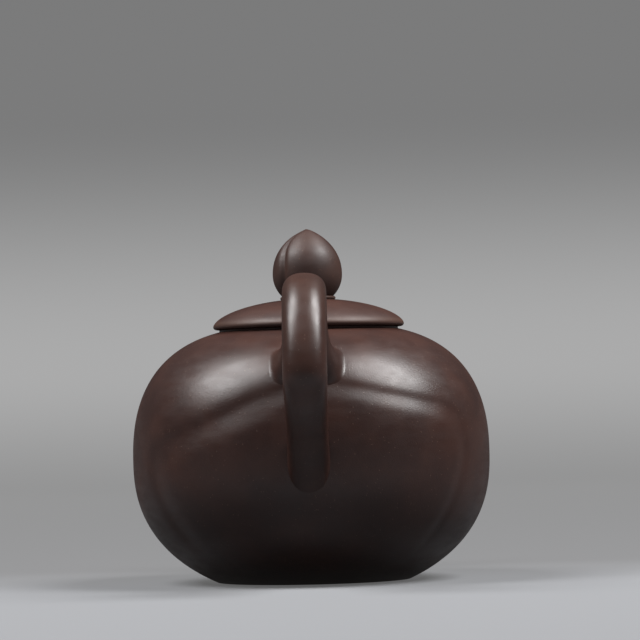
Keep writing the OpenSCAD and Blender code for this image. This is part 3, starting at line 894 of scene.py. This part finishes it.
def strainer():
    low_x = low("strainer", X)
    middle = (low_x + STRAINER_R, 0, SPOUT_LEVEL)
    turn = np.linspace(0, math.pi / 2, 24)
    inner_r = STRAINER_R - STRAINER_WALL
    outer_dome = STRAINER_R * np.stack([np.cos(turn), np.sin(turn)], 1)
    inner_dome = inner_r * np.stack([np.cos(turn), np.sin(turn)], 1)[::-1]
    collar = [[inner_r, -STRAINER_COLLAR], [STRAINER_R, -STRAINER_COLLAR]]
    rings = turned(np.vstack([inner_dome, collar, outer_dome]), 96)
    placed = np.stack(
        [middle[0] - rings[..., 2], rings[..., 1], middle[2] + rings[..., 0]], 2
    )
    piece = skinned("strainer", placed, [RAW_CLAY])
    set_inputs(
        piece, pierced_strainer(), Middle=middle, Radius=STRAINER_R - STRAINER_WALL / 2,
        Hole_radius=STRAINER_HOLE_R, Depth=2 * STRAINER_WALL, Clay=RAW_CLAY,
    )
    return crease(bake_shape(piece))


def handle():
    start = np.array([body_radius(-1.0, 0.0, UPPER_ROOT), UPPER_ROOT])
    end = np.array([body_radius(-1.0, 0.0, LOWER_ROOT), LOWER_ROOT])
    crown = np.array([(start[0] + HANDLE_OUT) / 2, HANDLE_UP])
    bend = np.array([HANDLE_OUT, LOWER_ROOT + BEND_SHARE * (HANDLE_UP - LOWER_ROOT)])
    to_crown, to_bend, to_tail = crown - start, bend - crown, end - bend
    tail_lead = -TAIL_PULL * to_tail[0] * np.array([1, math.tan(TAIL_SLANT)])
    curves = [
        [start, start + RISE_PULL * to_crown, crown - [CROWN_PULL * to_crown[0], 0], crown],
        [crown, crown + [ARC_PULL * to_bend[0], 0], bend - [0, BEND_LEAD * to_bend[1]], bend],
        [bend, bend + [0, BEND_PULL * to_tail[1]], end + tail_lead, end],
    ]
    mirror = np.array([-1, 1])
    last = len(curves)

    def point(t):
        part = min(last - 1, int(t))
        return mirror * curve_point(curves[part], t - part)

    def way(t):
        part = min(last - 1, int(t))
        return mirror * curve_way(curves[part], t - part)

    def facing(t):
        """Square to the path, turning to face the belly at the end of the tail."""
        turned_share = ease(1 - (last - t) / TAIL_TURN)
        angle = math.atan2(way(t)[1], way(t)[0]) * (1 - turned_share)
        return np.array([math.cos(angle), math.sin(angle)])

    def sizes(t):
        slim = (HANDLE_WIDTH - HANDLE_TAIL) * ease(t - last + 1)
        return (HANDLE_THICKNESS - slim) / (way(t) @ facing(t)), HANDLE_WIDTH - slim

    def cross(t, upright, flare, fullness, share):
        """The ring at a place on the path, spread by a share of a root's flare."""
        tall, wide = sizes(t)
        side, above, below = (share * spread for spread in flare)
        lift = (above - below) / 2 * upright * np.array([facing(t)[1], -facing(t)[0]])
        full = HANDLE_FULLNESS + (fullness - HANDLE_FULLNESS) * share
        return section(point(t) + lift, facing(t), tall + above + below, wide + 2 * side, full)

    times = last / 2 * (1 - np.cos(np.linspace(0, math.pi, 240)))
    path = np.array([point(t) for t in times])
    run = np.concatenate([[0], np.cumsum(np.linalg.norm(np.diff(path, axis=0), axis=1))])
    upper_root = (UPPER_FLARE, UPPER_REACH, UPPER_MEETING, UPPER_FULLNESS)
    lower_root = (TAIL_FLARE, TAIL_REACH, TAIL_MEETING, HANDLE_FULLNESS)
    roots = (
        (0.0, run, -toward(way(0.0)), 1, upper_root),
        (float(last), run[-1] - run, toward(way(last)), -1, lower_root),
    )
    rings = []
    for index, t in enumerate(times):
        root, distance, inward, upright, (flare, reach, meeting, fullness) = roots[int(t > last / 2)]
        away = distance[index]
        share = 1 - (1 - max(0, 1 - away / reach) ** 2) ** (1 / meeting)
        ring = cross(t, upright, flare, fullness, share)
        if away < ROOT_BLEND:
            foot = on_body(cross(root, upright, flare, fullness, share), inward) - inward * (away - SINK)
            kept = ease(away / ROOT_BLEND)
            ring = foot * (1 - kept) + ring * kept
        rings.append(ring)
    upper = plug_rings(rings[0], roots[0][2])
    tail = plug_rings(rings[-1], roots[1][2])
    everything = upper + rings + tail[::-1]
    heights = np.array([ring[:, 2].mean() for ring in everything])
    worn = CROWN_WORN * ease((heights - HANDLE_UP) / WORN_REACH + 1)
    return skinned("handle", everything, [HANDLE_CLAY], worn=worn[:, None])


# Lid
def dome_height(r):
    return LIP_LEVEL + LID_RISE * np.clip(1 - (r / LID_R) ** 2, 0, None) ** DOME_FULLNESS


def lid_dome():
    turn = np.linspace(math.acos(COLLAR_R / LID_R), 0, 800)
    dome = even(np.stack([LID_R * np.cos(turn), dome_height(LID_R * np.cos(turn))], 1), 70)
    under = np.linspace(0, math.pi / 2, 10)[1:]
    lip = np.stack(
        [LID_R - LIP_RADIUS * (1 - np.cos(under)), LIP_LEVEL - LIP_RADIUS * np.sin(under)], 1
    )
    rise = dome_height(0) - LID_THICKNESS - SEAT_LEVEL
    arch = np.linspace(0, math.pi / 2, 30)
    hollow = np.stack([FLANGE_BORE_R * np.cos(arch), SEAT_LEVEL + rise * np.sin(arch)], 1)
    top = np.stack([np.linspace(0, COLLAR_R, 6)[:-1], np.full(5, COLLAR_LEVEL)], 1)
    outline = np.vstack([top, dome, lip, hollow])
    from_tip = np.hypot(outline[:, 0] - LID_R, outline[:, 1] - LIP_LEVEL - 0.7 * MM)
    worn = np.exp(-((from_tip / (0.9 * MM)) ** 2))[:, None] * LID_LIP_WORN
    piece = skinned("lid_dome", turned(outline), [LID_CLAY], worn=worn)
    vent_x = COLLAR_R + VENT_GAP + VENT_R
    surface = float(dome_height(vent_x))
    soft = np.linspace(0, math.pi / 2, 6)
    brim = np.stack(
        [VENT_R + VENT_ROUND * (1 - np.cos(soft)), surface - VENT_ROUND * (1 - np.sin(soft))], 1
    )
    bit = turned(np.vstack([
        [[0, SEAT_LEVEL], [VENT_R, SEAT_LEVEL]], brim,
        [[VENT_R + VENT_ROUND, surface + LID_RISE], [0, surface + LID_RISE]],
    ]), 48)
    return crease(drill(piece, bit + np.array([vent_x, 0, 0]), LID_CLAY))


def lid_flange():
    outline = rounded_box(FLANGE_BORE_R, FLANGE_R, FLANGE_LEVEL, SEAT_LEVEL, 0.5 * MM)
    return skinned("lid_flange", turned(outline), [RAW_CLAY], loop=True)


def knob_collar():
    radius = (NECK_LEVEL - COLLAR_LEVEL) / 2
    turn = np.linspace(-math.pi / 2, math.pi / 2, 12)
    edge = np.stack(
        [COLLAR_R - radius + radius * np.cos(turn), COLLAR_LEVEL + radius + radius * np.sin(turn)], 1
    )
    outline = np.vstack([[[0, COLLAR_LEVEL]], edge, [[0, NECK_LEVEL]]])
    return crease(skinned("knob_collar", turned(outline, 128), [LID_CLAY], worn=COLLAR_WORN))


def knob():
    """A peach with one suture groove that leans round it towards the tip."""
    below = np.linspace(0, KNOB_BELLY, 24)
    above = KNOB_BELLY + (KNOB_HEIGHT - KNOB_BELLY) * np.sin(np.linspace(0, math.pi / 2, 90))[1:]
    z = np.concatenate([below, above])
    rise = np.clip(z - KNOB_BELLY, 0, None) / (KNOB_HEIGHT - KNOB_BELLY)
    drop = np.clip(KNOB_BELLY - z, 0, None) / KNOB_BELLY
    neck = 1 - (KNOB_NECK_R / KNOB_R) ** 2
    r = KNOB_R * np.sqrt(1 - neck * drop**2) * np.clip(1 - rise**PEACH_FULLNESS, 0, None) ** PEACH_POINT
    turn = np.linspace(0, 2 * math.pi, KNOB_AROUND, endpoint=False)
    groove = GROOVE_START + GROOVE_LEAN * rise**2
    off = (turn[None] - groove[:, None] + 3 * math.pi) % (2 * math.pi) - math.pi
    apart = off * r[:, None] / (GROOVE_WIDTH / 2)
    cut = np.minimum(GROOVE_DEPTH, r / 4)[:, None] * np.exp(-(apart**2))
    radius = r[:, None] - cut
    height = np.repeat(NECK_LEVEL + z[:, None], KNOB_AROUND, 1)
    rings = np.stack([radius * np.cos(turn), radius * np.sin(turn), height], 2)
    seat = np.repeat(np.array([[[0, 0, NECK_LEVEL]]]), KNOB_AROUND, 1)
    return skinned("knob", np.vstack([seat, rings]), [KNOB_CLAY])


WALLS = ("wall_spout_side", "wall_handle_side", "wall_left", "wall_right")
PIECES = (
    (pot_shell, "pot", WALLS + ("shoulder", "base_disc")),
    (mouth_ring, "pot", ("mouth_ring",)),
    (spout, "pot", ("spout",)),
    (strainer, "pot", ("strainer",)),
    (handle, "pot", ("handle",)),
    (lid_dome, "lid", ("lid_dome",)),
    (lid_flange, "lid", ("lid_flange",)),
    (knob_collar, "lid", ("knob_collar",)),
    (knob, "lid", ("knob",)),
)
for make, body, nodes in PIECES:
    piece = make()
    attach(piece, body)
    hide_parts(*nodes)


# Studio
def studio_floor():
    """A pale floor that sweeps up into a round backdrop."""
    bend = np.linspace(-math.pi / 2, 0, 24)
    sweep = np.stack([FLOOR_R + SWEEP_R * np.cos(bend), SWEEP_R + SWEEP_R * np.sin(bend)], 1)
    outline = np.vstack([[[0, 0]], sweep, [[FLOOR_R + SWEEP_R, WALL_TOP]]])
    rings = turned(outline, 128)
    count, sides = rings.shape[:2]
    index = np.arange(count * sides).reshape(count, sides)
    mesh = bpy.data.meshes.new("floor")
    mesh.from_pydata(rings.reshape(-1, 3).tolist(), [], ring_quads(index).tolist())
    mesh.shade_smooth()
    floor = bpy.data.objects.new("floor", mesh)
    bpy.context.scene.collection.objects.link(floor)
    paper = bpy.data.materials.new("pale_paper")
    paper.use_nodes = True
    shader = paper.node_tree.nodes["Principled BSDF"]
    tree = paper.node_tree
    ray = tree.nodes.new("ShaderNodeLightPath").outputs
    # Reflections see the floor dimmed and bounce light sees it darker around the pot: painted shade on
    # the pot's lower parts
    reflected = maths(tree, "MAXIMUM", ray["Is Glossy Ray"], ray["Is Transmission Ray"])
    dimmed = maths(tree, "MULTIPLY", reflected, REFLECTED_SHARE)
    seen = maths(tree, "MAXIMUM", ray["Is Camera Ray"], dimmed)
    place = tree.nodes.new("ShaderNodeSeparateXYZ")
    put(tree, tree.nodes.new("ShaderNodeTexCoord").outputs["Object"], place.inputs[0])
    near = ranged(tree, place.outputs["X"], *FLOOR_EDGE, 1.0, 0.0)
    front = ranged(tree, place.outputs["X"], *FRONT_EDGE, 1.0, 0.0)
    pale = maths(tree, "MAXIMUM", maths(tree, "MULTIPLY", seen, near), front)
    colour = blend_colour(tree, pale, tone(*FLOOR_SHADE), tone(*FLOOR_TONE))
    put(tree, colour, shader.inputs["Base Color"])
    shader.inputs["Roughness"].default_value = 0.9
    shader.inputs["Specular IOR Level"].default_value = 0.1
    # Painted light falloff on the backdrop: its glow rises from the floor, fades towards the top and dims
    # just behind the pot
    risen = ranged(tree, place.outputs["Z"], *FOOT_RISE, FOOT_SHARE, 1.0)
    faded = ranged(tree, place.outputs["Z"], *FADE_RISE, BACKDROP_GLOW, FADE_SHARE * BACKDROP_GLOW)
    deeper = ranged(tree, place.outputs["X"], *DEPTH_EDGE, DEPTH_SHARE, 1.0)
    far_glow = maths(tree, "MULTIPLY", maths(tree, "MULTIPLY", risen, faded), deeper)
    glow = maths(tree, "MULTIPLY_ADD", near, maths(tree, "SUBTRACT", FLOOR_GLOW, far_glow), far_glow)
    shader.inputs["Emission Color"].default_value = (1, 1, 1, 1)
    put(tree, maths(tree, "MULTIPLY", seen, glow), shader.inputs["Emission Strength"])
    mesh.materials.append(paper)


def soft_box(name, place, aim, watts):
    lamp = bpy.data.lights.new(name, "AREA")
    lamp.shape = "RECTANGLE"
    lamp.size_y, lamp.size = SOFT_BOX
    lamp.energy = watts
    box = bpy.data.objects.new(name, lamp)
    box.location = place
    box.rotation_euler = (Vector(aim) - Vector(place)).to_track_quat("-Z", "Y").to_euler()
    bpy.context.scene.collection.objects.link(box)


def studio_light():
    for name, place, watts in SOFT_BOXES:
        soft_box(name, place, LAMP_AIM, watts)
    world = bpy.data.worlds.new("studio")
    world.use_nodes = True
    sky = world.node_tree.nodes["Background"]
    sky.inputs["Color"].default_value = tone(*SKY_TONE)
    sky.inputs["Strength"].default_value = FILL
    bpy.context.scene.world = world


def photo_camera():
    """Looks at the handle from the photograph's angle, with the photograph's slight tilt."""
    lens = bpy.data.cameras.new("camera")
    lens.sensor_width = SENSOR
    lens.lens = SENSOR * CAMERA_AWAY / (FRAME_PIXELS / PIXELS_PER_METRE)
    lens.clip_start = 0.05
    camera = bpy.data.objects.new("camera", lens)
    place = Vector((
        -CAMERA_AWAY * math.cos(CAMERA_YAW), -CAMERA_AWAY * math.sin(CAMERA_YAW), CAMERA_LEVEL
    ))
    ahead = (Vector(CAMERA_AIM) - place).normalized()
    level_right = ahead.cross(Vector((0, 0, 1))).normalized()
    level_up = level_right.cross(ahead)
    right = level_right * math.cos(CAMERA_ROLL) - level_up * math.sin(CAMERA_ROLL)
    up = level_right * math.sin(CAMERA_ROLL) + level_up * math.cos(CAMERA_ROLL)
    camera.matrix_world = Matrix.Translation(place) @ Matrix((right, up, -ahead)).transposed().to_4x4()
    bpy.context.scene.collection.objects.link(camera)
    bpy.context.scene.camera = camera


studio_floor()
studio_light()
photo_camera()
bpy.context.scene.view_settings.view_transform = "Standard"
